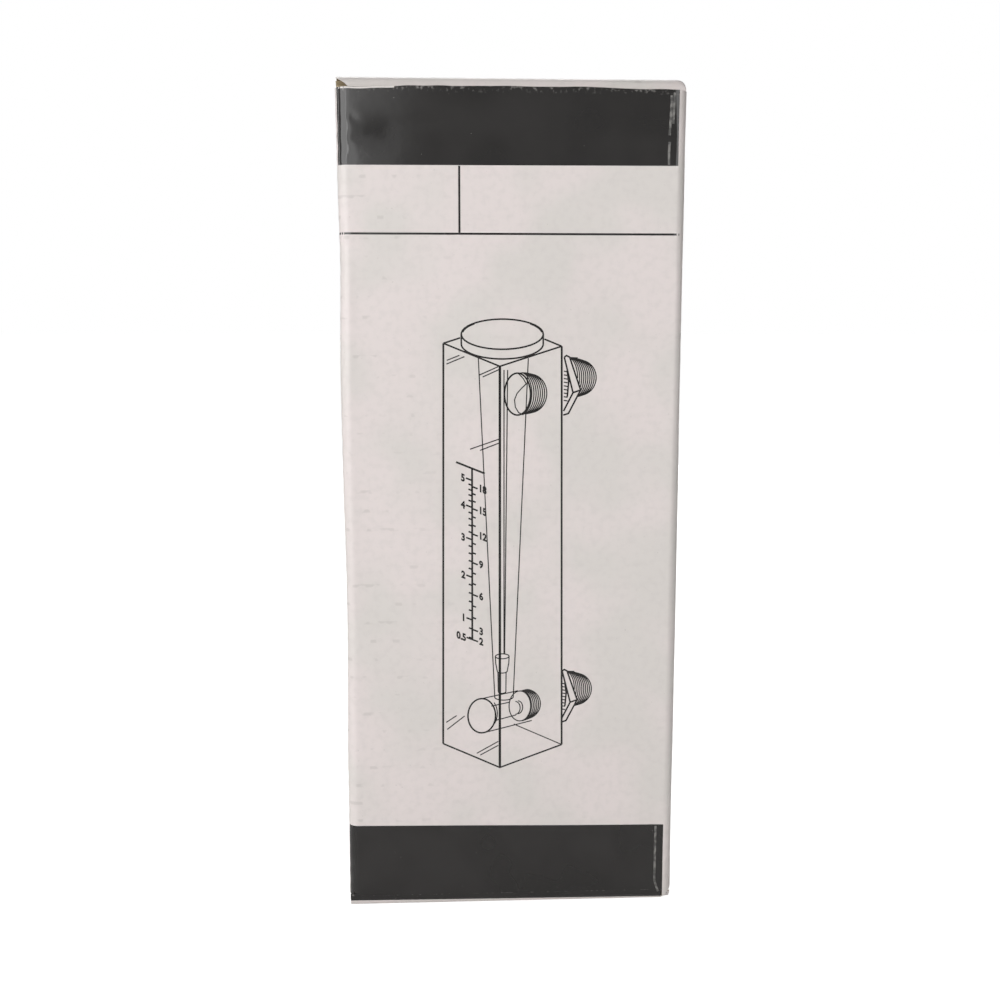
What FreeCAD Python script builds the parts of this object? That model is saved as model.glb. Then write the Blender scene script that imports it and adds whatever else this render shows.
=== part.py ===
import FreeCAD, Part
import math
import os

# Tall reverse-tuck carton, folded from one sheet of single-wall corrugated board.
# Origin: centre of the footprint on the standing surface. +Z up, the printed front faces -Y,
# +X is to the right of someone who faces the front. All lengths in mm, angles in degrees.

# --- The carton, measured outside with both lids shut ---
WIDTH = 104.0
DEPTH = 58.0
HEIGHT = 257.5

# --- The board and how it folds ---
BOARD = 2.8             # liner to liner
FOLD_R = 3.5            # outside radius of every fold
CREASE_GAP = 0.1        # cut between a lid and the wall that it is creased to

# --- Glue lap, inside the back left corner ---
LAP = 20.0              # from the back wall's outside to the lap's free edge
LAP_TAPER = 6.0         # how much shorter the free edge is, at each end
RAW_SETBACK = 0.4       # the left wall's cut edge lies this far inside the back face

# --- Lids: a panel with a tongue that tucks behind the opposite wall ---
LID_SIDE_INSET = 0.5    # the panel is narrower than the carton, each side
LID_PROUD = 1.3         # from a wall's cut edge to the lid's inside
TONGUE = 15.0           # how deep the tongue reaches below the panel's outside
TONGUE_LEAN = 9.0       # it leans inwards, to clear the wall as the lid swings
TONGUE_CLEAR = 0.4      # from the tongue to the wall that it tucks behind
TONGUE_SIDE_CLEAR = 1.0 # from the tongue's sides to the glue lap
TONGUE_CORNER_R = 8.0
SHOULDER_SETBACK = 0.9  # the panel's cut corners lie behind the front of the fold

# --- Dust flaps: one on each side wall at each end ---
FLAP = 35.0             # length, from the side wall's outside
FLAP_TAPER = 3.0        # each side narrows this much towards the free edge
FLAP_CORNER_R = 5.0
FLAP_CLEAR = 0.1        # under the lid's panel
FLAP_TONGUE_CLEAR = 1.0 # beside the tongue
NOTCH = 1.5             # relief between the flap's root and the corner's own board
CORNER_BOARD = 0.6      # flat board that stays beside each corner fold

# --- Places that several pieces share ---
HALF_W = WIDTH / 2
HALF_D = DEPTH / 2
INNER_R = FOLD_R - BOARD
LID_IN = HEIGHT - BOARD                     # inside face of the top lid
CUT_EDGE = LID_IN - LID_PROUD               # top of the wall that the tongue tucks behind
FLAP_TOP = LID_IN - FLAP_CLEAR
NOTCH_FLOOR = FLAP_TOP - FOLD_R             # where the side walls start to fold over
TONGUE_FACE = -(HALF_D - BOARD - TONGUE_CLEAR)
TONGUE_ROOT_HALF = HALF_W - BOARD - TONGUE_CLEAR
TONGUE_HALF = HALF_W - 2 * BOARD - TONGUE_SIDE_CLEAR
FLAP_FRONT = TONGUE_FACE + BOARD + FLAP_TONGUE_CLEAR
CORNER_REACH = HALF_D - FOLD_R - CORNER_BOARD
FLAP_BACK = CORNER_REACH - NOTCH
FAR = 2 * (WIDTH + DEPTH + HEIGHT)          # reaches past the whole carton

X_AXIS = FreeCAD.Vector(1, 0, 0)
Y_AXIS = FreeCAD.Vector(0, 1, 0)
Z_AXIS = FreeCAD.Vector(0, 0, 1)


# ---------- helpers: profiles are drawn in (u, v) and placed by a function ----------

def in_xy(u, v):
    return FreeCAD.Vector(u, v, 0)


def in_xz(u, v):
    return FreeCAD.Vector(u, 0, v)


def in_yz(u, v):
    return FreeCAD.Vector(0, u, v)


def polar(centre, radius, angle):
    """Point at an angle, in degrees, on a circle."""
    turn = math.radians(angle)
    return (centre[0] + radius * math.cos(turn), centre[1] + radius * math.sin(turn))


def arc_edge(centre, radius, start, end, place):
    ends = [polar(centre, radius, angle) for angle in (start, (start + end) / 2, end)]
    return Part.Arc(*[place(*point) for point in ends]).toShape()


def closed_face(edges):
    return Part.Face(Part.Wire(Part.__sortEdges__(edges)))


def extruded(face, axis, start, end):
    """Prism of a profile between two stations along an axis."""
    solid = face.extrude(axis * (end - start))
    solid.translate(axis * start)
    return solid


def folded_section(outline, place):
    """Section through folded board. The outline runs along the outside face, every fold turns
    left by the same rule, and the board lies to its left."""
    headings = []
    for (u0, v0), (u1, v1) in zip(outline, outline[1:]):
        headings.append(math.degrees(math.atan2(v1 - v0, u1 - u0)))
    outer, inner, arcs = [outline[0]], [polar(outline[0], BOARD, headings[0] + 90)], []
    for corner, before, after in zip(outline[1:-1], headings, headings[1:]):
        turn = (after - before) % 360
        run = FOLD_R * math.tan(math.radians(turn / 2))
        centre = polar(polar(corner, -run, before), FOLD_R, before + 90)
        span = (before - 90, before - 90 + turn)
        arcs.append(arc_edge(centre, FOLD_R, *span, place))
        arcs.append(arc_edge(centre, INNER_R, *span, place))
        outer += [polar(centre, FOLD_R, span[0]), polar(centre, FOLD_R, span[1])]
        inner += [polar(centre, INNER_R, span[0]), polar(centre, INNER_R, span[1])]
    outer.append(outline[-1])
    inner.append(polar(outline[-1], BOARD, headings[-1] + 90))
    lines = []
    for side in (outer, inner):
        lines += [Part.makeLine(place(*a), place(*b)) for a, b in zip(side[::2], side[1::2])]
    for a, b in ((outer[0], inner[0]), (outer[-1], inner[-1])):
        lines.append(Part.makeLine(place(*a), place(*b)))
    return closed_face(lines + arcs)


def rounded_outline(corners, radii, place):
    """Closed outline through corners, each rounded by its own radius or left sharp by 0."""
    edges, joints = [], []
    count = len(corners)
    for i, (corner, radius) in enumerate(zip(corners, radii)):
        back, ahead = corners[i - 1], corners[(i + 1) % count]
        to_back = math.atan2(back[1] - corner[1], back[0] - corner[0])
        to_ahead = math.atan2(ahead[1] - corner[1], ahead[0] - corner[0])
        half = abs((to_back - to_ahead + math.pi) % (2 * math.pi) - math.pi) / 2
        run = radius / math.tan(half)
        start = polar(corner, run, math.degrees(to_back))
        end = polar(corner, run, math.degrees(to_ahead))
        if radius:
            toward = polar(corner, 1, math.degrees(to_back)), polar(corner, 1, math.degrees(to_ahead))
            middle = ((toward[0][0] + toward[1][0]) / 2, (toward[0][1] + toward[1][1]) / 2)
            bisector = math.degrees(math.atan2(middle[1] - corner[1], middle[0] - corner[0]))
            crown = polar(corner, radius / math.sin(half) - radius, bisector)
            edges.append(Part.Arc(place(*start), place(*crown), place(*end)).toShape())
        joints.append((start, end))
    for (_, leave), (arrive, _) in zip(joints, joints[1:] + joints[:1]):
        edges.append(Part.makeLine(place(*leave), place(*arrive)))
    return closed_face(edges)


def slab(x0, x1, y0, y1, z0, z1):
    return Part.makeBox(x1 - x0, y1 - y0, z1 - z0, FreeCAD.Vector(x0, y0, z0))


def turned_over(shape):
    """Half a turn about the carton's long middle line along X: top and bottom, front and back
    swap, which is how the two ends of a reverse-tuck carton differ."""
    other = shape.copy()
    other.rotate(FreeCAD.Vector(0, 0, HEIGHT / 2), X_AXIS, 180)
    return other


def mirrored(shape):
    return shape.mirror(FreeCAD.Vector(0, 0, 0), X_AXIS)


# ---------- the four walls and the glue lap ----------

def tube_section():
    """Plan of the four walls. The lap is the last run, glued inside the left wall."""
    lap_face = -HALF_W + BOARD
    wrap = folded_section([
        (-HALF_W, 0), (-HALF_W, -HALF_D), (HALF_W, -HALF_D), (HALF_W, HALF_D),
        (lap_face, HALF_D), (lap_face, HALF_D - LAP)], in_xy)
    rest_of_left = folded_section([(-HALF_W, HALF_D - RAW_SETBACK), (-HALF_W, 0)], in_xy)
    return wrap, rest_of_left


def tube_between(z_low, z_high):
    pieces = [extruded(face, Z_AXIS, z_low, z_high) for face in tube_section()]
    return pieces[0].fuse(pieces[1])


def lap_end_cutter():
    """Wedge that slopes the top end of the glue lap."""
    root, free = CORNER_REACH, HALF_D - LAP
    face = Part.Face(Part.makePolygon([
        in_yz(root, NOTCH_FLOOR), in_yz(free, NOTCH_FLOOR - LAP_TAPER), in_yz(free, NOTCH_FLOOR),
        in_yz(root, NOTCH_FLOOR)]))
    return extruded(face, X_AXIS, -HALF_W + BOARD, -HALF_W + 2 * BOARD)


def lap_bottom_cutter():
    return lap_end_cutter().mirror(FreeCAD.Vector(0, 0, HEIGHT / 2), Z_AXIS)


def side_relief():
    """Room above both side walls, where their dust flaps fold over between two notches."""
    return slab(-FAR, FAR, -CORNER_REACH, CORNER_REACH, NOTCH_FLOOR, FAR)


# ---------- one end of the carton, drawn at the top ----------

def crease_centre():
    return (HALF_D - FOLD_R, HEIGHT - FOLD_R)


def beyond_crease(side):
    """All that lies on one side of the diagonal through the lid's crease: 1 is the lid's side,
    -1 the wall's. Each stops half the crease's gap short of the diagonal."""
    across = 45 + side * 90
    start = polar(polar(crease_centre(), CREASE_GAP / 2, across - 180), FAR, 225)
    corners = [start, polar(start, 2 * FAR, 45)]
    corners += [polar(corner, FAR, across) for corner in reversed(corners)]
    face = Part.Face(Part.makePolygon([in_yz(*corner) for corner in corners + corners[:1]]))
    return extruded(face, X_AXIS, -WIDTH, WIDTH)


def crease_strip(x_left, x_right):
    """Top of the back wall: it curls inwards as far as the middle of the fold."""
    section = folded_section(
        [(HALF_D, NOTCH_FLOOR), (HALF_D, HEIGHT), (HALF_D - 2 * FOLD_R, HEIGHT)], in_yz)
    return extruded(section, X_AXIS, x_left, x_right).cut(beyond_crease(1))


def dust_flap():
    """Left dust flap, folded off the side wall and narrowed towards its free edge."""
    section = folded_section(
        [(-HALF_W + FLAP, FLAP_TOP), (-HALF_W, FLAP_TOP), (-HALF_W, NOTCH_FLOOR - BOARD)], in_xz)
    blank = extruded(section, Y_AXIS, FLAP_FRONT, FLAP_BACK)
    root, tip = -HALF_W + FOLD_R, -HALF_W + FLAP
    plan = rounded_outline([
        (-HALF_W - BOARD, FLAP_FRONT), (root, FLAP_FRONT), (tip, FLAP_FRONT + FLAP_TAPER),
        (tip, FLAP_BACK - FLAP_TAPER), (root, FLAP_BACK), (-HALF_W - BOARD, FLAP_BACK)],
        [0, 0, FLAP_CORNER_R, FLAP_CORNER_R, 0, 0], in_xy)
    return blank.common(extruded(plan, Z_AXIS, 0, HEIGHT))


def carton_body():
    """Walls, lap and dust flaps: one sheet, one solid."""
    solid = tube_between(HEIGHT - CUT_EDGE, CUT_EDGE)
    for cutter in (side_relief(), turned_over(side_relief()), lap_end_cutter(), lap_bottom_cutter()):
        solid = solid.cut(cutter)
    fold_start = HALF_W - FOLD_R
    folds = [
        crease_strip(BOARD - fold_start, fold_start),
        turned_over(crease_strip(-fold_start, fold_start))]
    for flap in (dust_flap(), mirrored(dust_flap())):
        folds += [flap, turned_over(flap)]
    return solid.multiFuse(folds).removeSplitter()


# ---------- the lids ----------

def lid_blank():
    """Panel and tongue at the panel's full width, from the crease at the back."""
    run = FOLD_R * math.tan(math.radians((90 + TONGUE_LEAN) / 2))
    fold = (TONGUE_FACE + FOLD_R - run, HEIGHT)
    tip = polar(fold, TONGUE, TONGUE_LEAN - 90)
    section = folded_section([(HALF_D, NOTCH_FLOOR), (HALF_D, HEIGHT), fold, tip], in_yz)
    half = HALF_W - LID_SIDE_INSET
    return extruded(section, X_AXIS, -half, half).cut(beyond_crease(-1))


def tongue_outline():
    """What is left of the tongue, seen from the front. Slits in its fold leave a shoulder at
    each side, above the wall's cut edge."""
    shoulder = CUT_EDGE + TONGUE_CLEAR
    low = HEIGHT - TONGUE
    corners = [
        (-TONGUE_ROOT_HALF, HEIGHT + BOARD), (-TONGUE_ROOT_HALF, shoulder),
        (-TONGUE_HALF, shoulder), (-TONGUE_HALF, low),
        (TONGUE_HALF, low), (TONGUE_HALF, shoulder),
        (TONGUE_ROOT_HALF, shoulder), (TONGUE_ROOT_HALF, HEIGHT + BOARD)]
    return rounded_outline(corners, [0, 0, 0, TONGUE_CORNER_R, TONGUE_CORNER_R, 0, 0, 0], in_xz)


def lid():
    """Top lid: the blank, cut back to its shoulders and its tongue at the front."""
    at_front = slab(-FAR, FAR, -FAR, TONGUE_FACE + SHOULDER_SETBACK, -FAR, FAR)
    below_panel = slab(-FAR, FAR, -FAR, 0, -FAR, LID_IN)
    waste = at_front.fuse(below_panel).cut(extruded(tongue_outline(), Y_AXIS, -DEPTH, DEPTH))
    return lid_blank().cut(waste).removeSplitter()


# ---------- write one STEP file for each piece ----------

def write(name, shape):
    solid = shape.Solids[0]
    assert len(shape.Solids) == 1 and solid.isValid(), name
    solid.exportStep("parts/" + name + ".step")
    box = solid.BoundBox
    print(name, "volume", round(solid.Volume), "z", round(box.ZMin, 3), round(box.ZMax, 3),
          "x", round(box.XMin, 3), round(box.XMax, 3), "y", round(box.YMin, 3), round(box.YMax, 3))


os.makedirs("parts", exist_ok=True)
top_lid = lid()
write("carton_body", carton_body())
write("top_lid", top_lid)
write("bottom_lid", turned_over(top_lid))

hinge = polar(crease_centre(), FOLD_R, 45)
print("top lid hinge: y", round(hinge[0], 4), "z", round(hinge[1], 4))
print("bottom lid hinge: y", round(-hinge[0], 4), "z", round(HEIGHT - hinge[1], 4))
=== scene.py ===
# %% [markdown]
# # A printed carton of corrugated board
# A carton starts as one flat sheet that is printed, die-cut, creased and glued. So here each
# layer of the board is cut flat, in millimetres, as the real blank is, and then folded by one
# rule. The print goes on while the sheet lies flat, so it bends with it.

# %% Load the frame
import math

import bpy
import numpy as np
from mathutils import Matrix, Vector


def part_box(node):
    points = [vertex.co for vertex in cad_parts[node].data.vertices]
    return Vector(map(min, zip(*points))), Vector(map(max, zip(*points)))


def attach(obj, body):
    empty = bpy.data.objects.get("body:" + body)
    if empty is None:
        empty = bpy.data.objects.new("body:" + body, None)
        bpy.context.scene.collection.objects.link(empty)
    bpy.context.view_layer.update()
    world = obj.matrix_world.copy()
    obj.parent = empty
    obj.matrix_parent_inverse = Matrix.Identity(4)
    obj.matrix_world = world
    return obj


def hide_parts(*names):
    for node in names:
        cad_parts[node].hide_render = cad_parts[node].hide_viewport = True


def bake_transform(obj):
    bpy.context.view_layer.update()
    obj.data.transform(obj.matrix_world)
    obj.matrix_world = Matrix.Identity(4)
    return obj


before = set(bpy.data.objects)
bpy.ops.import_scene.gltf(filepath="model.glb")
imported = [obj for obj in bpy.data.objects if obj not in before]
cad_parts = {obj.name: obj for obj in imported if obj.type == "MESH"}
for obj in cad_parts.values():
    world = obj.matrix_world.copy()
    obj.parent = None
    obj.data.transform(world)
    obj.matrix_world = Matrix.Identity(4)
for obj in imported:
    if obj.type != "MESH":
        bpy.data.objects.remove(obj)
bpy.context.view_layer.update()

# %% [markdown]
# ## Sizes
# The overall sizes are read from the frame's boxes. The rest are the board's own sizes: single
# wall board is two liners with a wave of fluting between them, and a fold has a radius a little
# larger than the board is thick. All lengths are in mm until a piece is folded.

# %% Sizes of the carton and its board
MM = 0.001


def box_mm(node):
    return [np.array(list(corner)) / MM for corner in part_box(node)]


body_low, body_high = box_mm("carton_body")
lid_low, lid_high = box_mm("top_lid")
WIDTH = body_high[0] - body_low[0]
DEPTH = body_high[1] - body_low[1]
HEIGHT = lid_high[2]
LID_HALF = lid_high[0]
TONGUE = HEIGHT - lid_low[2]

BOARD = 2.8         # liner to liner
LINER = 0.3         # one liner
PAPER = 0.25        # the fluting's paper
FOLD_R = 3.5        # outside radius of a fold
QUARTER = FOLD_R * math.pi / 2
FLUTE = 5.85        # from crest to crest
LID_PROUD = 1.3     # from the cut edge to the lid's inside
FLAP_GAP = 0.1      # between a dust flap and the lid over it
TONGUE_CLEAR = 0.4  # room round the tongue
TONGUE_LEAN = 9.0   # degrees
HALF_W, HALF_D = WIDTH / 2, DEPTH / 2
CUT_EDGE = HEIGHT - BOARD - LID_PROUD
NOTCH_FLOOR = HEIGHT - BOARD - FLAP_GAP - FOLD_R
print("width, depth, height, cut edge, half a lid:",
      [round(float(size), 2) for size in (WIDTH, DEPTH, HEIGHT, CUT_EDGE, LID_HALF)])

# %% [markdown]
# ## The folding rule
# A fold turns a straight run of board through an angle on a fixed radius. A path lists the runs
# and the turns between them, measured along the board's outside face, as a die maker measures a
# blank. A point of the flat sheet has a distance along the path and a depth below the outside
# face, and the rule gives its place in the folded section.


# %% A path of runs and folds
def folded(path, along, depth):
    """Places flat points on a folded line. The path is (start, heading in degrees, legs), and
    each leg is (length, turn to the left after it)."""
    start, heading, legs = path
    corner = np.array(start, float)
    place = np.empty((len(along), 2))
    begin = 0.0
    for leg, turn in legs:
        angle = math.radians(heading)
        ahead = np.array([math.cos(angle), math.sin(angle)])
        left = np.array([-ahead[1], ahead[0]])
        later = (along >= begin) | (begin == 0)
        straight = corner + (along - begin)[:, None] * ahead + depth[:, None] * left
        place[later] = straight[later]
        corner = corner + leg * ahead
        begin += leg
        if turn:
            centre = corner + FOLD_R * left
            swing = angle - math.pi / 2 + (along - begin) / FOLD_R
            curved = centre + (FOLD_R - depth)[:, None] * np.stack(
                [np.cos(swing), np.sin(swing)], 1)
            later = along >= begin
            place[later] = curved[later]
            end = angle - math.pi / 2 + math.radians(turn)
            corner = centre + FOLD_R * np.array([math.cos(end), math.sin(end)])
            begin += FOLD_R * math.radians(turn)
            heading += turn
    return place


FRONT_HALF = HALF_W - FOLD_R
SIDE_RUN = DEPTH - 2 * FOLD_R
BACK_RUN = 2 * FRONT_HALF - BOARD
LAP_RUN = 16.5      # the glue lap
RAW_SETBACK = 0.4   # the left side's raw edge stays behind the back's face
RAW_RUN = SIDE_RUN + FOLD_R - RAW_SETBACK
WRAP = ((0, -HALF_D), 0, [(FRONT_HALF, 90), (SIDE_RUN, 90), (BACK_RUN, 90), (LAP_RUN, 0)])
SHORT = ((0, -HALF_D), 0, [(FRONT_HALF, 90), (RAW_RUN, 0)])
FLAP_RUN = 31.5     # a dust flap beyond its fold
OVER = ((0, 0), 90, [(NOTCH_FLOOR, 90), (FLAP_RUN, 0)])
SIDE_START = FRONT_HALF + QUARTER
BACK_START = SIDE_START + SIDE_RUN + QUARTER
LAP_START = BACK_START + BACK_RUN + QUARTER
LAP_END = LAP_START + LAP_RUN
RAW_END = SIDE_START + RAW_RUN

TONGUE_TURN = 90 + TONGUE_LEAN
FOLD_RUN = FOLD_R * math.tan(math.radians(TONGUE_TURN / 2))
CREASE_START = HEIGHT - FOLD_R
PANEL_START = CREASE_START + QUARTER
PANEL_RUN = 2 * HALF_D - 2 * FOLD_R - BOARD - TONGUE_CLEAR
TONGUE_RUN = TONGUE / math.cos(math.radians(TONGUE_LEAN)) - FOLD_RUN
LID_PATH = ((HALF_D, 0), 90, [(CREASE_START, 90), (PANEL_RUN, TONGUE_TURN), (TONGUE_RUN, 0)])
FOLD_START = PANEL_START + PANEL_RUN
FOLD_END = FOLD_START + FOLD_R * math.radians(TONGUE_TURN)
TONGUE_END = FOLD_END + TONGUE_RUN
print("blank", round(-RAW_END, 1), "to", round(LAP_END, 1), "lid to", round(TONGUE_END, 2))

# %% [markdown]
# ## Dents, waves and wear of the sheet
# Corrugated board is never flat. Its liners sink a little between the crests of the fluting,
# so a printed wall shows a faint washboard, the whole wall swells and sags by a few tenths, and
# the folds that cross the flutes are puckered. Each of these is a small depth at a place on
# the flat sheet, always inwards. Wear is a change of height: the front wall's cut edge stands
# high in the middle and is rubbed down towards the folds.


# %% Depths on the flat sheet
def ripple(u, v, length, seed):
    """Smooth random waves between -1 and 1, about one length apart."""
    rng = np.random.default_rng(seed)
    total = np.zeros_like(u)
    for _ in range(7):
        angle, phase = rng.uniform(0, 2 * np.pi, 2)
        size = length * rng.uniform(0.7, 1.5)
        total += np.cos(2 * np.pi * (u * np.cos(angle) + v * np.sin(angle)) / size + phase)
    return np.tanh(total / 2.6)


def hump(x, middle, width):
    """1 at the middle, falling to 0 on both sides."""
    return np.exp(-((x - middle) / width) ** 2)


def ease(x, start, end):
    """0 before start, 1 after end, smooth between."""
    t = np.clip((x - start) / (end - start), 0, 1)
    return t * t * (3 - 2 * t)


def washboard(v):
    """0 on each crest of the fluting and 1 between two crests."""
    return (1 - np.cos(2 * np.pi * v / FLUTE)) / 2


def pleat(u, v, at, angle, half_length, width, depth):
    """A straight wrinkle in the liner."""
    turn = math.radians(angle)
    along = (u - at[0]) * math.cos(turn) + (v - at[1]) * math.sin(turn)
    across = -(u - at[0]) * math.sin(turn) + (v - at[1]) * math.cos(turn)
    return depth * hump(across, 0, width) * hump(along, 0, half_length)


def near_folds(u):
    """How near a point is to the middle of a vertical fold, 1 at the fold."""
    total = np.zeros_like(u)
    for fold in (SIDE_START, BACK_START, LAP_START):
        total = np.maximum(total, hump(np.abs(u), fold - QUARTER / 2, 2.4))
    return total


SKIN = 0.03         # the printed face lies this far inside the box, so that ink can lie on it
SWELL = 0.14        # slow hollows of a whole wall
PUCKER = 0.2        # puckers of a fold that crosses the flutes
SHOW_THROUGH = 0.04  # how far the printed liner sinks between the crests


def wall_depth(u, v, outer):
    """Depth of the walls below their true planes."""
    at_fold = near_folds(u)
    middle = 1 - at_fold
    ends = ease(v, 4, 20) * ease(HEIGHT - v, 4, 20)
    swell = SWELL * (1 + ripple(u, v, 55, 3)) * middle * ends
    depth = SKIN + swell
    pucker = washboard(v + 0.8 * ripple(u, v, 30, 8)) * (0.5 + 0.5 * ripple(u, v, 24, 5))
    kept_straight = np.where((u > 0) & (u < SIDE_START + 4), 0.12, 1.0)
    depth += PUCKER * pucker * at_fold * kept_straight * ease(v, 4, 9) * ease(HEIGHT - v, 4, 9)
    if outer:
        depth += SHOW_THROUGH * washboard(v) * middle * ends * (0.6 + 0.4 * ripple(u, v, 35, 4))
    return depth


# place, direction in degrees, half length, width and depth of each wrinkle of the front
PLEATS = (((-47.4, 245.4), -33, 2.6, 0.9, 0.1), ((-50.0, 243.6), -62, 2.4, 0.9, 0.1),
          ((-48.4, 233), -80, 6, 1.1, 0.07), ((-13.5, 56.0), 60, 5, 1.0, 0.05),
          ((47.6, 238), 86, 10, 1.0, 0.06), ((46.6, 14), 94, 9, 1.0, 0.06),
          ((-49.0, 8), 80, 4, 1.0, 0.1))


def front_pleats(u, v):
    """The front's wrinkles, and a long hollow in its top band that is deepest at the left."""
    total = sum(pleat(u, v, *wrinkle) for wrinkle in PLEATS)
    total += 0.32 * hump(u, -35, np.where(u < -35, 10, 34)) * hump(v, 242, 4.5)
    return total * ease(v, HEIGHT - CUT_EDGE, HEIGHT - CUT_EDGE + 3)


def fold_bow(u, v):
    """How far the left fold stands in from a straight line."""
    bow = 0.45 * hump(v, 204, 20) + 0.6 * hump(v, 96, 34)
    return bow * ease(-u, 38, 50) * (1 - ease(-u, 56, 80))


EDGE_PROUD = 0.75   # how much higher than drawn the middle of the cut edge stands


def edge_wear(u, v):
    """How much lower than drawn the front wall's cut edge is."""
    worn = 0.45 * ease(-u, 24, 46) + 0.5 * ease(u, 18, 44)
    worn = worn + 0.12 * (1 + ripple(u, 0 * u, 6, 11)) - EDGE_PROUD
    return worn * ease(v, CUT_EDGE - 3, CUT_EDGE) * (np.abs(u + 2.5) < FRONT_HALF + 3.6)


TEAR_U = 49.2       # where the tear at the foot of the right fold starts


def torn_tab(u, v):
    """How much lower the right fold ends, where the board tore beside the lower crease. The
    tear runs upwards round the corner."""
    end = 1.7 + 0.69 * (u - TEAR_U)
    lost = (HEIGHT - CUT_EDGE - end) * ease(u, TEAR_U - 0.7, TEAR_U) * (1 - ease(u, 54.6, 56))
    return lost * (1 - ease(v, HEIGHT - CUT_EDGE, 8))


# %% [markdown]
# ## Cutting-table helpers
# Each layer starts as a grid primitive and grows by extruding its edges, the way one would draw
# a blank outwards from its first panel. Edges and faces are chosen by their place.


# %% Cut, pull and trim a flat sheet
NEAR = 0.01         # two places that are closer than this are the same
FINE_ROW = 0.6      # rows as fine as the fluting's need no extra stops at a corner


def pick(*things):
    """Selects only these objects. The first is the active one."""
    bpy.ops.object.select_all(action="DESELECT")
    for thing in things:
        thing.select_set(True)
    bpy.context.view_layer.objects.active = things[0]


def start_sheet(name, left, right, low, high, columns, rows):
    """A flat grid with the printed face up: u runs right and v runs up."""
    bpy.ops.object.select_all(action="DESELECT")
    bpy.ops.mesh.primitive_grid_add(
        x_subdivisions=columns, y_subdivisions=rows, size=1,
        location=((left + right) / 2, (low + high) / 2, 0))
    sheet = bpy.context.object
    sheet.name = sheet.data.name = name
    sheet.scale = (right - left, high - low, 1)
    bpy.ops.object.transform_apply(location=True, rotation=False, scale=True)
    return sheet


def read(parts, what, width=3, kind=np.float32):
    """Reads the same thing from every vertex, edge or face: an array with a row for each."""
    values = np.empty(width * len(parts), kind)
    parts.foreach_get(what, values)
    return values.reshape(-1, width)


def corners(sheet):
    return read(sheet.data.vertices, "co").astype(float)


def move_corners(sheet, flat):
    sheet.data.vertices.foreach_set("co", flat.astype(np.float32).ravel())
    sheet.data.update()


def lower(sheet, depth):
    """Moves a flat layer down to its own depth in the board."""
    move_corners(sheet, corners(sheet) - [0, 0, depth])


def open_sheet(sheet, kind, picked):
    """Opens the sheet for editing with only the picked edges or faces selected."""
    mesh = sheet.data
    for part in (mesh.vertices, mesh.edges, mesh.polygons):
        part.foreach_set("select", np.zeros(len(part), bool))
    (mesh.edges if kind == "edges" else mesh.polygons).foreach_set("select", picked)
    bpy.context.tool_settings.mesh_select_mode = (False, kind == "edges", kind == "faces")
    bpy.ops.object.mode_set(mode="EDIT")


def close_sheet():
    bpy.ops.object.mode_set(mode="OBJECT")


def choose(sheet, kind, test):
    """Opens the sheet with those edges or faces selected whose corners all pass the test on
    (u, v)."""
    mesh = sheet.data
    good = test(*corners(sheet)[:, :2].T)
    if kind == "edges":
        picked = good[read(mesh.edges, "vertices", 2, np.int32)].all(1)
    else:
        loops = good[read(mesh.loops, "vertex_index", 1, np.int32)[:, 0]]
        picked = np.logical_and.reduceat(
            loops, read(mesh.polygons, "loop_start", 1, np.int32)[:, 0])
    open_sheet(sheet, kind, picked)


def pull(stops, now, across=True):
    """Extrudes the selected edges from stop to stop. What is new stays selected."""
    for stop in stops:
        move = (stop - now, 0, 0) if across else (0, stop - now, 0)
        bpy.ops.mesh.extrude_region_move(TRANSFORM_OT_translate={"value": move})
        now = stop


def grow(sheet, test, stops, now, across=True):
    """Extrudes the chosen edges from stop to stop."""
    choose(sheet, "edges", test)
    pull(stops, now, across)
    close_sheet()


def pull_shaped(stops, now, middle, half, half_at):
    """Extrudes the selected edges upwards or downwards and makes each new row as wide as
    half_at says."""
    for stop in stops:
        pull([stop], now, across=False)
        factor = half_at(stop) / half
        bpy.ops.transform.resize(value=(factor, 1, 1), center_override=(middle, stop, 0))
        now, half = stop, half_at(stop)


def steps(start, end, size):
    """Even stops from start to end, start left out, about one size apart."""
    count = max(1, round(abs(end - start) / size))
    return list(np.linspace(start, end, count + 1)[1:])


def cut_line(sheet, at, normal, test):
    """Cuts the chosen faces along a straight line, so that a colour can end there."""
    choose(sheet, "faces", test)
    bpy.ops.mesh.bisect(plane_co=(*at, 0), plane_no=(*normal, 0))
    close_sheet()


def cut_away(sheet, test):
    choose(sheet, "faces", test)
    bpy.ops.mesh.delete(type="FACE")
    close_sheet()


def face_up(sheet):
    """Turns over any face that an extrusion left looking down."""
    open_sheet(sheet, "faces", read(sheet.data.polygons, "normal")[:, 2] < 0)
    bpy.ops.mesh.flip_normals()
    close_sheet()


def thicken(sheet, thickness):
    """Gives the sheet its paper thickness, below its top face."""
    face_up(sheet)
    solid = sheet.modifiers.new("paper", "SOLIDIFY")
    solid.thickness = thickness
    solid.offset = -1
    pick(sheet)
    bpy.ops.object.modifier_apply(modifier=solid.name)


# %% [markdown]
# ## Colours and the node helper
# Colours are written as sRGB hex, the way a print shop notes them, and one function turns them
# to the linear values that sockets take. Patterns read the piece's own "flat" attribute, which
# keeps each point's place on the flat sheet in mm, so grain, scuffs and print follow the folds.


# %% Colour and node functions
def linear(hexcode):
    parts = [int(hexcode[i:i + 2], 16) / 255 for i in (1, 3, 5)]
    return (*[c / 12.92 if c <= 0.04045 else ((c + 0.055) / 1.055) ** 2.4 for c in parts], 1)


def fill(node, sockets):
    """Gives each socket a plain value or another node's output."""
    for name, value in sockets.items():
        if isinstance(value, bpy.types.NodeSocket):
            node.id_data.links.new(value, node.inputs[name])
        else:
            node.inputs[name].default_value = value


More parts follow.
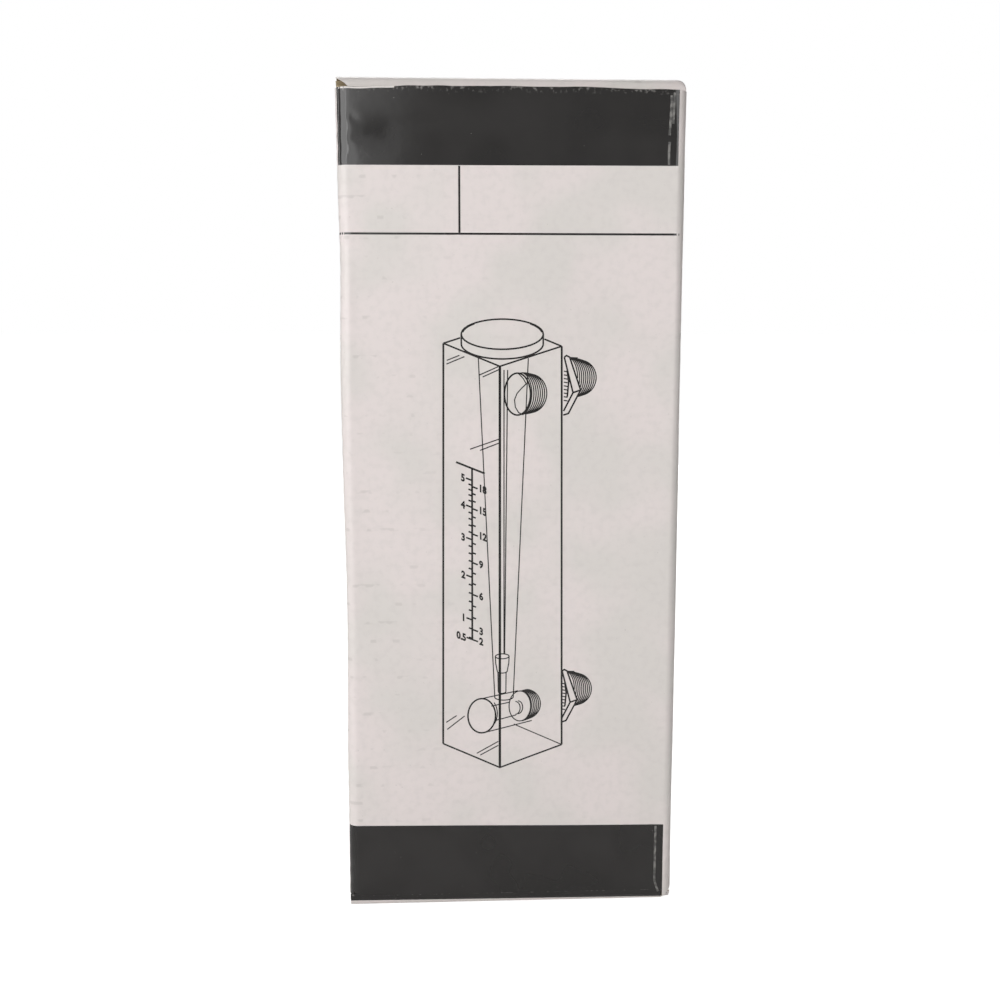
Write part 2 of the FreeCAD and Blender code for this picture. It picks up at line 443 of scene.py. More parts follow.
def add(tree, kind, sockets=None, out=0, **settings):
    """Adds a node with its settings and links, and gives back one of its outputs."""
    made = tree.nodes.new("ShaderNode" + kind)
    for name, value in settings.items():
        setattr(made, name, value)
    fill(made, sockets or {})
    return made.outputs[out]


def start_material(name):
    """A new material: its tree, its shader and the flat place in mm."""
    material = bpy.data.materials.new(name)
    material.use_nodes = True
    tree = material.node_tree
    shader = tree.nodes["Principled BSDF"]
    return material, tree, shader, add(
        tree, "Attribute", out="Vector", attribute_name="flat")


SOFT = {"interpolation_type": "SMOOTHSTEP"}
COLOUR = {"data_type": "RGBA", "out": 2}
TIMES = {"operation": "MULTIPLY"}


def blotches(tree, place, scale, detail, start, end, most=1.0):
    """A random pattern: 0 where the noise is below start, most where it is above end."""
    noise = add(tree, "TexNoise", {"Vector": place, "Scale": scale, "Detail": detail})
    return add(tree, "MapRange", {0: noise, 1: start, 2: end, 4: most}, **SOFT)



# %% [markdown]
# ## White-top liner
# The printed face is a white clay-coated liner with a film of gloss varnish. The coating is
# thin, so the brown of the fibres below makes it cloudy in blotches of one or two centimetres,
# pinkish where it is thick and greyish where it is thin, and a little greyer towards the right.
# Short faint grey dashes lie on the crests of the fluting, most towards the left: partly the
# glue lines printing through and partly painted shade of the washboard where light grazes the
# front. The varnish gives a soft sheen, a little broken by the fibres.

# %% White-top liner
CLOUD = 26.0        # mm across a blotch of the coating
TUFT = 2.4          # mm across a tuft of fibres
SPECK = 0.9         # mm across a fleck in the pulp
white_liner, tree, shader, place = start_material("white_clay_coated_liner")
axes = add(tree, "SeparateXYZ", {0: place}).node.outputs
drift = add(tree, "MapRange", {0: axes["X"], 1: -52, 2: 52, 3: -0.05, 4: 0.05})
cloud = add(tree, "TexNoise", {"Vector": place, "Scale": 1 / CLOUD, "Detail": 1.5})
cloud = add(tree, "Math", {0: cloud, 1: drift}, operation="ADD")
cloud = add(tree, "MapRange", {0: cloud, 1: 0.36, 2: 0.64}, **SOFT)
tint = add(tree, "Mix", {0: cloud, 6: linear("#E2D9D7"), 7: linear("#DAD5D1")}, **COLOUR)
tuft = blotches(tree, place, 1 / TUFT, 3.0, 0.40, 0.75, 0.28)
turn = add(tree, "Math", {0: axes["Y"], 1: 2 * math.pi / FLUTE}, **TIMES)
crest = add(tree, "Math", {0: turn}, operation="COSINE")
crest = add(tree, "MapRange", {0: crest, 1: 0.72, 2: 1.0}, **SOFT)
# Painted shade: the dashes on the flute crests stand partly for glue lines and partly for the
# washboard's shade, more towards the left.
glue_and_flute_shade = blotches(tree, place, 0.24, 1.0, 0.56, 0.66)
glue_and_flute_shade = add(tree, "Math", {0: crest, 1: glue_and_flute_shade}, **TIMES)
leftward = add(tree, "MapRange", {0: axes["X"], 1: -42, 2: -12, 3: 0.30, 4: 0.05}, **SOFT)
glue_and_flute_shade = add(tree, "Math", {0: glue_and_flute_shade, 1: leftward}, **TIMES)
fleck = blotches(tree, place, 1 / SPECK, 1.0, 0.76, 0.80, 0.30)
for cover, colour in ((tuft, "#CDC7C4"), (glue_and_flute_shade, "#AFA9A5"), (fleck, "#A8A19C")):
    tint = add(tree, "Mix", {0: cover, 6: tint, 7: linear(colour)}, **COLOUR)

sheen = add(tree, "MapRange", {0: tuft, 1: 0.0, 2: 0.28, 3: 0.30, 4: 0.38})
grain = add(tree, "TexNoise", {"Vector": place, "Scale": 1 / SPECK, "Detail": 3.0})
bump = add(tree, "Bump", {"Height": grain, "Strength": 0.12, "Distance": 0.00005})
fill(shader, {"Base Color": tint, "Roughness": sheen, "IOR": 1.4, "Normal": bump})
print(white_liner.name, len(tree.nodes), "nodes")

# %% [markdown]
# ## Black ink
# A solid of black offset ink lies on the coating and takes the same varnish, so it is glossier
# than the white and shows every dent as a glint. Along the cut edge of the front wall it is a
# little rubbed, and here and there a speck of white comes through.

# %% Black ink under varnish
black_ink, tree, shader, place = start_material("black_offset_ink")
blotch = blotches(tree, place, 1 / CLOUD, 2.0, 0.35, 0.65)
tone = add(tree, "Mix", {0: blotch, 6: linear("#201E1D"), 7: linear("#272524")}, **COLOUR)
height = add(tree, "SeparateXYZ", {0: place}, out="Y")
edge = add(tree, "MapRange", {0: height, 1: CUT_EDGE - 1.8, 2: CUT_EDGE - 0.3}, **SOFT)
inside_edge = add(tree, "Math", {0: height, 1: CUT_EDGE + 0.1}, operation="LESS_THAN")
rub = blotches(tree, place, 0.8, 3.0, 0.52, 0.72, 0.30)
rub = add(tree, "Math", {0: rub, 1: edge}, **TIMES)
rub = add(tree, "Math", {0: rub, 1: inside_edge}, **TIMES)
speck = blotches(tree, place, 1 / SPECK, 2.0, 0.76, 0.80, 0.30)
bare = add(tree, "Math", {0: rub, 1: speck}, operation="MAXIMUM")
tone = add(tree, "Mix", {0: bare, 6: tone, 7: linear("#C4C0BC")}, **COLOUR)

gloss = add(tree, "MapRange", {0: blotch, 3: 0.08, 4: 0.11})
grain = add(tree, "TexNoise", {"Vector": place, "Scale": 1 / TUFT, "Detail": 3.0})
bump = add(tree, "Bump", {"Height": grain, "Strength": 0.2, "Distance": 0.00005})
fill(shader, {"Base Color": tone, "Roughness": gloss, "IOR": 1.5, "Normal": bump})
print(black_ink.name, len(tree.nodes), "nodes")

# %% [markdown]
# ## Rubbed ink and ridge highlight
# Where the board was bent or knocked beside a fold, the ink has broken along a line and the
# white below shows grey through what is left of it. The same lighter grey also stands for the
# light caught by the ridge of that bend, so it is partly a painted highlight. These lines are
# drawn as strokes.

# %% Rubbed ink and painted ridge highlight
rubbed_ink_and_highlight, tree, shader, place = start_material("rubbed_ink_and_ridge_highlight")
# The lighter grey is partly ink worn away and partly a painted highlight of the bend's ridge.
worn_and_glinting = blotches(tree, place, 0.7, 3.0, 0.38, 0.62)
tone = add(tree, "Mix", {0: worn_and_glinting, 6: linear("#484745"), 7: linear("#7C7A77")}, **COLOUR)
fill(shader, {"Base Color": tone, "Roughness": 0.5, "IOR": 1.5})
print(rubbed_ink_and_highlight.name, len(tree.nodes), "nodes")

# %% [markdown]
# ## Brown liner and fluting
# The inner liner is unbleached kraft: long brown fibres laid mostly one way, no coating and no
# shine. The fluting is recycled paper, greyer and a little darker. Both are the same recipe
# with other colours, so one function makes them.


# %% Kraft papers
def brown_paper(name, light, dark):
    """Fibres laid lengthwise, a cloudy tone and dark flecks of bark."""
    material, tree, shader, place = start_material(name)
    lengthwise = add(tree, "Mapping", {"Vector": place, "Scale": (0.35, 1.6, 1)})
    fibres = add(tree, "TexNoise", {"Vector": lengthwise, "Scale": 0.55, "Detail": 4.0})
    streaks = add(tree, "MapRange", {0: fibres, 1: 0.32, 2: 0.68}, **SOFT)
    tint = add(tree, "Mix", {0: streaks, 6: linear(light), 7: linear(dark)}, **COLOUR)
    cloud = blotches(tree, place, 1 / CLOUD, 2.0, 0.4, 0.7, 0.4)
    tint = add(tree, "Mix", {0: cloud, 6: tint, 7: linear(dark)}, **COLOUR)
    fleck = blotches(tree, lengthwise, 1.4, 2.0, 0.70, 0.76, 0.5)
    tint = add(tree, "Mix", {0: fleck, 6: tint, 7: linear("#67553F")}, **COLOUR)
    bump = add(tree, "Bump", {"Height": fibres, "Strength": 0.35, "Distance": 0.00008})
    fill(shader, {"Base Color": tint, "Roughness": 0.88, "IOR": 1.45, "Normal": bump})
    return material


kraft_liner = brown_paper("unbleached_kraft_liner", "#C4B497", "#AE9D7F")
flute_paper = brown_paper("recycled_fluting", "#B3A387", "#97876B")

# %% [markdown]
# ## Assigning finishes and folding a sheet
# A finish is given face by face while the sheet is still flat: the top face is white or inked,
# and the underside is bare. Then all points are folded and turned from millimetres into metres.


# %% Paint and fold
SMOOTH_UP_TO = 40   # degrees


def give_finishes(sheet, finishes, number=lambda u, v, up: 0 * u):
    """number(u, v, up) gives the place in the list of each face's finish. A thin cut rim counts
    as up, because the coating and the ink reach it."""
    for finish in finishes:
        sheet.data.materials.append(finish)
    faces = sheet.data.polygons
    u, v, _ = read(faces, "center").T
    index = number(u, v, read(faces, "normal")[:, 2] > -0.5)
    faces.foreach_set("material_index", np.asarray(index, np.int32))


def fold_up(sheet, fold):
    """Keeps the flat place, folds every point and smooths the shading over the folds."""
    flat = corners(sheet)
    note = sheet.data.attributes.new("flat", "FLOAT_VECTOR", "POINT")
    note.data.foreach_set("vector", flat.astype(np.float32).ravel())
    move_corners(sheet, fold(flat[:, 0], flat[:, 1], -flat[:, 2]) * MM)
    pick(sheet)
    bpy.ops.object.shade_smooth_by_angle(angle=math.radians(SMOOTH_UP_TO))
    print(sheet.name, len(sheet.data.polygons), "faces")


def fold_walls(outer):
    """The folding rule of the four walls, the lap and the dust flaps."""
    def fold(u, v, depth):
        side = np.where(u < 0, -1.0, 1.0)
        reach = np.abs(u)
        low = v < HEIGHT / 2
        rise = np.where(low, HEIGHT - v, v)
        flap = (rise > NOTCH_FLOOR + 1e-3) & (reach > SIDE_START + 1) & (
            reach < SIDE_START + SIDE_RUN - 1)
        sunk = depth + wall_depth(u, v, outer) * ~flap
        front = reach < SIDE_START
        sunk = sunk + front_pleats(u, v) * front * (1 if outer else 0.3)
        long_way = folded(WRAP, reach, sunk)
        short_way = folded(SHORT, reach, sunk)
        plan = np.where((u < 0)[:, None], short_way, long_way)
        over = folded(OVER, rise, sunk)
        x = side * np.where(flap, HALF_W + over[:, 0], plan[:, 0])
        y = np.where(flap, folded(WRAP, reach, 0 * sunk)[:, 1], plan[:, 1])
        tall = np.where(flap, over[:, 1], rise)
        z = np.where(low, HEIGHT - tall, tall) - edge_wear(u, v) - torn_tab(u, v)
        x = x + fold_bow(u, v)
        return np.stack([x, y, z], 1)
    return fold


def lay_on_walls(sheet, outer=True):
    """Folds a layer or a piece of print with the walls, and lets it move with the carton."""
    fold_up(sheet, fold_walls(outer))
    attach(sheet, "carton")


# %% [markdown]
# ## The walls, drawn flat
# The blank's first panel is the front. Its right edge is pulled out through the fold, the side,
# the back and the glue lap, and its left edge through the other side, which ends in a raw cut
# edge. Then each side gets a dust flap at both ends. One function draws all three layers: the
# printed liner in fine cells, the wavy fluting in many rows, and the inner liner in coarse cells.

# %% Draw one layer of the walls
CORNER_BOARD = 0.6  # flat board that stays beside each corner fold
CORNER_FLAT, FAR_FLAT = SIDE_START + CORNER_BOARD, SIDE_START + SIDE_RUN - CORNER_BOARD
FLAP_NEAR, FLAP_FAR = SIDE_START + 3.5, SIDE_START + 48.9   # sides of an upper dust flap
LOW_NEAR, LOW_FAR = SIDE_START + 2.1, SIDE_START + 47.5     # sides of a lower dust flap
FLAP_TAPER, FLAP_CORNER = 3.0, 5.0
FLAP_ROOT = NOTCH_FLOOR + QUARTER
FLAP_TIP = FLAP_ROOT + FLAP_RUN


def round_off(tip, radius, angles):
    """Stops up a round corner that ends at the tip."""
    return [tip - radius + radius * math.sin(math.radians(angle)) for angle in angles]


def side_stops(cell):
    """Stops across a side wall, with the places where its flaps and notches start."""
    marks = [SIDE_START, CORNER_FLAT, LOW_NEAR, FLAP_NEAR]
    marks += steps(FLAP_NEAR, LOW_FAR, cell)
    marks += [FLAP_FAR, FAR_FLAT, SIDE_START + SIDE_RUN]
    return marks[1:]


def rounded(half, stop, tip, radius):
    """Half the width of a piece that gets round corners towards its tip."""
    into = max(0.0, stop - (tip - radius))
    return half - (radius - math.sqrt(max(0.0, radius ** 2 - into ** 2)))


def flap_half(rise):
    """Half the dust flap's width at a distance up the blank."""
    half = (FLAP_FAR - FLAP_NEAR) / 2
    half -= FLAP_TAPER * max(0.0, rise - FLAP_ROOT) / FLAP_RUN
    return rounded(half, rise, FLAP_TIP, FLAP_CORNER)


def draw_walls(name, front_columns, cell, rows, fold_cells):
    """One layer of the walls, with its glue lap and dust flaps, as a flat sheet."""
    low, high = HEIGHT - CUT_EDGE, CUT_EDGE
    sheet = start_sheet(name, -FRONT_HALF, FRONT_HALF, low, high, front_columns, rows)
    row, fold_cell = (high - low) / rows, QUARTER / fold_cells
    near_side = steps(FRONT_HALF, SIDE_START, fold_cell) + side_stops(cell)
    stops = near_side + steps(near_side[-1], BACK_START, fold_cell)
    stops += steps(BACK_START, BACK_START + BACK_RUN, cell)
    stops += steps(stops[-1], LAP_START, fold_cell) + steps(LAP_START, LAP_END, cell)
    grow(sheet, lambda u, v: u > FRONT_HALF - NEAR, stops, FRONT_HALF)
    grow(sheet, lambda u, v: u < -FRONT_HALF + NEAR,
         [-stop for stop in near_side + [RAW_END]], -FRONT_HALF)
    for floor, up in ((NOTCH_FLOOR, 1), (HEIGHT - NOTCH_FLOOR, -1)):
        cut_line(sheet, (0, floor), (0, 1), lambda u, v: np.abs(u) > SIDE_START - NEAR)
        cut_away(sheet, lambda u, v: (np.abs(u) > CORNER_FLAT - NEAR) & (
            np.abs(u) < FAR_FLAT + NEAR) & (up * (v - floor) > -NEAR))
        near, far = (FLAP_NEAR, FLAP_FAR) if up > 0 else (LOW_NEAR, LOW_FAR)
        for side in (-1, 1):
            choose(sheet, "edges", lambda u, v: (np.abs(v - floor) < NEAR) & (
                side * u > near - NEAR) & (side * u < far + NEAR))
            if row < FINE_ROW:
                rise = steps(NOTCH_FLOOR, FLAP_TIP, row)
            else:
                rise = steps(NOTCH_FLOOR, FLAP_ROOT, fold_cell)
                rise += steps(FLAP_ROOT, FLAP_TIP - FLAP_CORNER, 2 * row)
                rise += round_off(FLAP_TIP, FLAP_CORNER, (18, 36, 54, 72, 90))
            stops = rise if up > 0 else [HEIGHT - stop for stop in rise]
            pull_shaped(stops, floor, side * (near + far) / 2, (far - near) / 2,
                        lambda stop: flap_half(stop if up > 0 else HEIGHT - stop))
            close_sheet()
    return sheet


# %% [markdown]
# ## The printed liner of the walls
# The front carries two solid black bands. Each band's border is a straight line that is cut
# into the mesh while the sheet is flat, because a press prints a clean edge; the lower band
# runs a little out of square, as the register often does. The white around it is the coating.

# %% Printed liner of the walls
BAND_LOW = 231.57           # lower border of the top band
BAND_SLOPE = 0.0025
BASE_TOP = 26.80            # upper border of the bottom band, at the middle
BASE_SLOPE = -0.0150
BAND_RIGHT, BASE_RIGHT = 49.4, 48.9
BAND_LEFT, BASE_LEFT = -(FRONT_HALF + 0.62 * QUARTER), -(FRONT_HALF + 0.75 * QUARTER)

walls = draw_walls("carton_printed_liner", front_columns=96, cell=6.0, rows=256, fold_cells=8)
on_front = lambda u, v: np.abs(u) < SIDE_START + NEAR
cut_line(walls, (0, BAND_LOW), (-BAND_SLOPE, 1), on_front)
cut_line(walls, (0, BASE_TOP), (-BASE_SLOPE, 1), on_front)
cut_line(walls, (BAND_RIGHT, 0), (1, 0), lambda u, v: on_front(u, v) & (u > 40) & (v > 120))
cut_line(walls, (BASE_RIGHT, 0), (1, 0), lambda u, v: on_front(u, v) & (u > 40) & (v < 120))
thicken(walls, LINER)


def wall_finish(u, v, up):
    top_band = (v > BAND_LOW + BAND_SLOPE * u) & (u < BAND_RIGHT) & (u > BAND_LEFT)
    base_band = (v < BASE_TOP + BASE_SLOPE * u) & (u < BASE_RIGHT) & (u > BASE_LEFT)
    return np.where(up, (top_band | base_band).astype(int), 2)


give_finishes(walls, [white_liner, black_ink, kraft_liner], wall_finish)
lay_on_walls(walls)
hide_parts("carton_body")

# %% [markdown]
# ## The fluting of the walls
# The wave between the liners is what makes the board stiff, and its edge shows wherever the
# board is cut across it. It is the same blank with about twelve rows to a wave, and each row is
# moved up or down before the paper gets its thickness.

# %% Fluting and inner liner of the walls
GLUE = 0.02         # between a crest and the liner that is glued to it
CREST = (BOARD - 2 * LINER - PAPER - 2 * GLUE) / 2


def make_fluting(sheet):
    """Lifts the rows of a flat sheet into the fluting's wave, at mid depth of the board."""
    flat = corners(sheet)
    flat[:, 2] = PAPER / 2 - BOARD / 2 + CREST * np.cos(2 * np.pi * flat[:, 1] / FLUTE)
    move_corners(sheet, flat)
    thicken(sheet, PAPER)
    give_finishes(sheet, [flute_paper])


def make_inner_liner(sheet):
    thicken(sheet, LINER)
    lower(sheet, BOARD - LINER)
    give_finishes(sheet, [kraft_liner])


fluting = draw_walls("carton_fluting", front_columns=8, cell=12.0, rows=512, fold_cells=4)
make_fluting(fluting)
lay_on_walls(fluting, outer=False)

inside = draw_walls("carton_inner_liner", front_columns=12, cell=8.0, rows=128, fold_cells=5)
make_inner_liner(inside)
lay_on_walls(inside, outer=False)

# %% [markdown]
# ## The lids
# A lid is a panel and a tongue. It is drawn from the crease forwards: two small ears beside the
# crease, the panel, the rounded fold, a short root between the slits, and the tongue with its
# round corners. The lower lid is drawn in the same way and turned over.

# %% Draw and fold a lid's layers
ROOT_HALF = HALF_W - BOARD - TONGUE_CLEAR
TONGUE_HALF = HALF_W - 2 * BOARD - 1.0
TONGUE_CORNER = 8.0
SLIT = FOLD_START + FOLD_R * math.radians(93.3)     # where the slits beside the tongue end
SHOULDER = FOLD_R * math.radians(48)    # how far round the fold the board beside them goes
KNOCKED = 2.1               # radius of the lid's right front corner, which was knocked round
KNOCKED_FROM = CUT_EDGE + 0.2
SPREAD = 0.4                # how far the upper lid's sides stand out
EAR_TORN = 1.6              # how much higher the lower lid's right ear ends, by the torn tab
STRIP_END = PANEL_START + 0.5
EAR_START = CREASE_START + QUARTER / 2 + 0.05


def draw_lid(name, strip_left, row, shoulder, ear_start=EAR_START, root_half=ROOT_HALF):
    """strip_left is where the crease strip ends on the lap's side, and ear_start is where the
    ear beside it starts."""
    rows = round(PANEL_RUN / row)
    sheet = start_sheet(name, -TONGUE_HALF, TONGUE_HALF, STRIP_END, FOLD_START, 16, rows)
    grow(sheet, lambda u, v: u > TONGUE_HALF - NEAR,
         sorted({strip_left, FRONT_HALF, ROOT_HALF, LID_HALF}), TONGUE_HALF)
    rounding = [KNOCKED * share - LID_HALF for share in (0.6, 0.35, 0.18, 0.06, 0)]
    grow(sheet, lambda u, v: u < -TONGUE_HALF + NEAR,
         [-FRONT_HALF, -ROOT_HALF] + rounding, -TONGUE_HALF)
    for ear, start in ((lambda u, v: u > strip_left - NEAR, ear_start),
                       (lambda u, v: u < -FRONT_HALF + NEAR, EAR_START)):
        grow(sheet, lambda u, v: ear(u, v) & (v < STRIP_END + NEAR),
             steps(STRIP_END, start, 0.7), STRIP_END, across=False)
    now = FOLD_START
    for end, half in ((shoulder, LID_HALF), (SLIT, root_half)):
        grow(sheet, lambda u, v: (v > now - NEAR) & (np.abs(u) < half + NEAR),
             steps(now, end, min(row, FINE_ROW)), now, across=False)
        now = end
    choose(sheet, "edges", lambda u, v: (v > now - NEAR) & (np.abs(u) < TONGUE_HALF + NEAR))
    straight = TONGUE_END - TONGUE_CORNER
    stops = steps(now, straight, min(row, 1.0))
    stops += steps(straight, TONGUE_END, row) if row < FINE_ROW else round_off(
        TONGUE_END, TONGUE_CORNER, (12, 24, 36, 48, 60, 72, 81, 90))
    pull_shaped(stops, now, 0, TONGUE_HALF,
                lambda stop: rounded(TONGUE_HALF, stop, TONGUE_END, TONGUE_CORNER))
    close_sheet()
    return sheet


def lid_depth(u, v, outer):
    """A lid's own small hollows."""
    panel = ease(v, PANEL_START, PANEL_START + 8) * (1 - ease(v, FOLD_START - 6, FOLD_START))
    depth = SKIN + 0.12 * (1 + ripple(u, v, 45, 21)) * panel
    if outer:
        depth += SHOW_THROUGH * washboard(v) * panel
    return depth


def fold_lid(outer, upper):
    """The folding rule of a lid. The lower lid is the upper one turned over."""
    def fold(u, v, depth):
        section = folded(LID_PATH, v, depth + lid_depth(u, v, outer))
        x, y, z = -u, section[:, 0], section[:, 1]
        past = np.clip(x - (LID_HALF - KNOCKED), 0, KNOCKED)
        drop = KNOCKED - np.sqrt(KNOCKED ** 2 - past ** 2)
        share = np.clip((z - KNOCKED_FROM) / (HEIGHT - KNOCKED_FROM), 0, 1)
        z = z - drop * share * ease(v, FOLD_START - 9, FOLD_START)
        x = x + SPREAD * np.sign(x) * ease(np.abs(x), ROOT_HALF, LID_HALF) * upper
        if not upper:
            y, z = -y, HEIGHT - z
            z = z + EAR_TORN * ease(x, FRONT_HALF, FRONT_HALF + 3) * (1 - ease(v, 256.8, 260.4))
        return np.stack([x, y, z], 1)
    return fold


BASE_END = 255.66           # where the bottom band ends on the lower crease
BASE_END_SLOPE = 0.0113


def under_band(u, v):
    return v < BASE_END - BASE_END_SLOPE * u


def tear_shoulder(sheet):
    """Tears the printed liner away at the front left corner, along a slanting line."""
    start, end = np.array([LID_HALF, FOLD_START + 1.6]), np.array([ROOT_HALF - 1.0, SLIT])
    along = (end - start) / np.hypot(*(end - start))
    outward = np.array([along[1], -along[0]])
    by_corner = lambda u, v: (u > ROOT_HALF - 4) & (v > FOLD_START)
    cut_line(sheet, start, outward, by_corner)
    cut_away(sheet, lambda u, v: by_corner(u, v) & (
        (u - start[0]) * outward[0] + (v - start[1]) * outward[1] > -NEAR) & (v < SLIT + NEAR))


def make_lid(prefix, body, node, strip_left):
    upper = node == "top_lid"
    special = {"root_half": LID_HALF} if upper else {"ear_start": CUT_EDGE - 0.6}
    liner = draw_lid(prefix + "_printed_liner", strip_left, 1.95, FOLD_START + SHOULDER, **special)
    if upper:
        tear_shoulder(liner)
    else:
        cut_line(liner, (0, BASE_END), (BASE_END_SLOPE, 1),
                 lambda u, v: (u > FRONT_HALF - NEAR) & (v < STRIP_END + NEAR))
    thicken(liner, LINER)
    give_finishes(liner, [white_liner, kraft_liner, black_ink], lambda u, v, up: np.where(
        up, 2 * (under_band(u, v) & (u > FRONT_HALF) & (not upper)), 1))
    wave = draw_lid(prefix + "_fluting", strip_left, FLUTE / 12, FOLD_START + SHOULDER / 2)
    make_fluting(wave)
    under = draw_lid(prefix + "_inner_liner", strip_left, 2.9, FOLD_START + 0.3)
    make_inner_liner(under)
    for sheet in (liner, wave, under):
        fold_up(sheet, fold_lid(sheet is liner, upper))
        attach(sheet, body)
    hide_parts(node)


# %% [markdown]
# The upper lid hangs on the back wall, where the glue lap takes one board's thickness of its
# crease. The lower lid hangs on the front wall at its full width.

# %% Upper and lower lid
LAP_STRIP = FRONT_HALF - BOARD
make_lid("upper_lid", "upper_lid", "top_lid", LAP_STRIP)
make_lid("lower_lid", "lower_lid", "bottom_lid", FRONT_HALF)

# %% [markdown]
# ## The creases
# Between a wall and its lid the board is crushed along a line so that it bends there. It is
# made of three thin strips, the printed face, the crushed middle and the inner face, and each
# is folded with its lid. The ends of each strip are worked out at its own depth in the board.


# %% Draw the crease strips
def make_crease(prefix, left, right, upper):
    for layer, depth, thickness, paper in (
            ("printed", 0.0, LINER, white_liner),
            ("crushed", LINER, BOARD - 2 * LINER, flute_paper),
            ("inner", BOARD - LINER, LINER, kraft_liner)):
        strip = start_sheet(prefix + "_crease_" + layer, left, right, CUT_EDGE, STRIP_END, 24, 16)
        inked = layer == "printed" and not upper
        if inked:
            cut_line(strip, (0, BASE_END), (BASE_END_SLOPE, 1), lambda u, v: v > 0)
        thicken(strip, thickness)
        lower(strip, depth)
        give_finishes(strip, [paper, kraft_liner] + [black_ink] * inked,
                      lambda u, v, up: np.where(up, 2 * (under_band(u, v) & inked), 1))
        fold_up(strip, fold_lid(False, upper))
        middle = depth + (0 if layer == "printed" else thickness / 2)
        ends = folded(LID_PATH, np.array([CUT_EDGE, STRIP_END]), np.array([middle, middle]))
        if not upper:
            ends = ends * [-1, -1] + [0, HEIGHT]
        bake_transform(strip)


make_crease("upper_lid", -FRONT_HALF, LAP_STRIP, True)
make_crease("lower_lid", -FRONT_HALF, FRONT_HALF, False)

# %% [markdown]
# ## The line drawing
# The front shows a plain line drawing of a panel flow meter. It is drawn as a draughtsman sets
# out such a block: a tall prism seen on its front edge, a tapered tube inside, a float on a
# guide rod, a threaded port at each end, a knurled nut behind, and a scale on the left face.
# Each stroke is a curve with a flat nib as its bevel, and becomes a thin closed ribbon of ink.
# Words are left out, and the scale keeps only its numbers.


# %% Strokes of the drawing
def between(start, end, share):
    return tuple(a + (b - a) * share for a, b in zip(start, end))


def oval(middle, half_u, half_v, start=0, end=360, count=40):
    """Part of an ellipse, in degrees, anticlockwise from its right end."""
    angles = np.radians(np.linspace(start, end, count))
    return [(middle[0] + half_u * math.cos(a), middle[1] + half_v * math.sin(a)) for a in angles]


LEFT_TOP, EDGE_TOP, RIGHT_TOP = (-20.7, 179.5), (-3.7, 172.6), (15.0, 178.6)
LEFT_LOW, EDGE_LOW, RIGHT_LOW = (-21.6, 54.3), (-3.7, 46.1), (15.9, 53.35)
BACK_TOP = (LEFT_TOP[0] + RIGHT_TOP[0] - EDGE_TOP[0], LEFT_TOP[1] + RIGHT_TOP[1] - EDGE_TOP[1])
BACK_LOW = (LEFT_LOW[0] + RIGHT_LOW[0] - EDGE_LOW[0], LEFT_LOW[1] + RIGHT_LOW[1] - EDGE_LOW[1])
SLANT = (EDGE_TOP[1] - LEFT_TOP[1]) / (EDGE_TOP[0] - LEFT_TOP[0])

heavy = [[EDGE_TOP, EDGE_LOW]]
medium = [[LEFT_TOP, LEFT_LOW], [RIGHT_TOP, RIGHT_LOW]]
fine = [[LEFT_TOP, EDGE_TOP, RIGHT_TOP], [LEFT_LOW, EDGE_LOW, RIGHT_LOW],
        [LEFT_TOP, between(LEFT_TOP, BACK_TOP, 0.27)],
        [RIGHT_TOP, between(RIGHT_TOP, BACK_TOP, 0.31)]]
hair = [[RIGHT_LOW, between(RIGHT_LOW, BACK_LOW, 0.85)]]

CAP, CAP_HALF, CAP_TALL, CAP_THICK = (-2.96, 182.2), 12.35, 4.5, 2.9
cap_low = (CAP[0], CAP[1] - CAP_THICK)
fine += [oval(CAP, CAP_HALF, CAP_TALL)]
fine += [[(CAP[0] - CAP_HALF, CAP[1])] + oval(cap_low, CAP_HALF, CAP_TALL, 180, 360)
         + [(CAP[0] + CAP_HALF, CAP[1])]]

medium += [oval(CAP, CAP_HALF - 0.25, CAP_TALL - 0.1, start, start + 38, 14) for start in (8, 134)]

# %% [markdown]
# The tube narrows downwards, and the float hangs low on its rod, as it does when nothing flows.
# Threads are rows of half ellipses.

# %% Tube, float, ports and nuts
hair += [[(-10.2, 175.0), (-5.3, 69.0)], [(4.9, 175.0), (0.5, 69.0)],
         oval((-2.4, 69.2), 2.9, 1.0, 180, 360, 16)]
hair += [[(-2.45, 171.5), (-2.4, 83.0)], [(-1.35, 171.5), (-2.2, 83.0)]]
hair += [oval((-2.95, 82.4), 2.15, 0.8, count=20),
         [(-5.1, 82.4), (-5.0, 80.2), (-4.5, 77.6)], [(-0.8, 82.4), (-0.9, 80.2), (-1.4, 77.6)],
         oval((-2.95, 77.6), 1.55, 0.6, 180, 360, 14),
         [(-4.3, 77.3), (-4.2, 71.0)], [(-1.75, 77.3), (-1.8, 71.0)],
         oval((-3.0, 71.0), 1.2, 0.6, 180, 360, 12)]

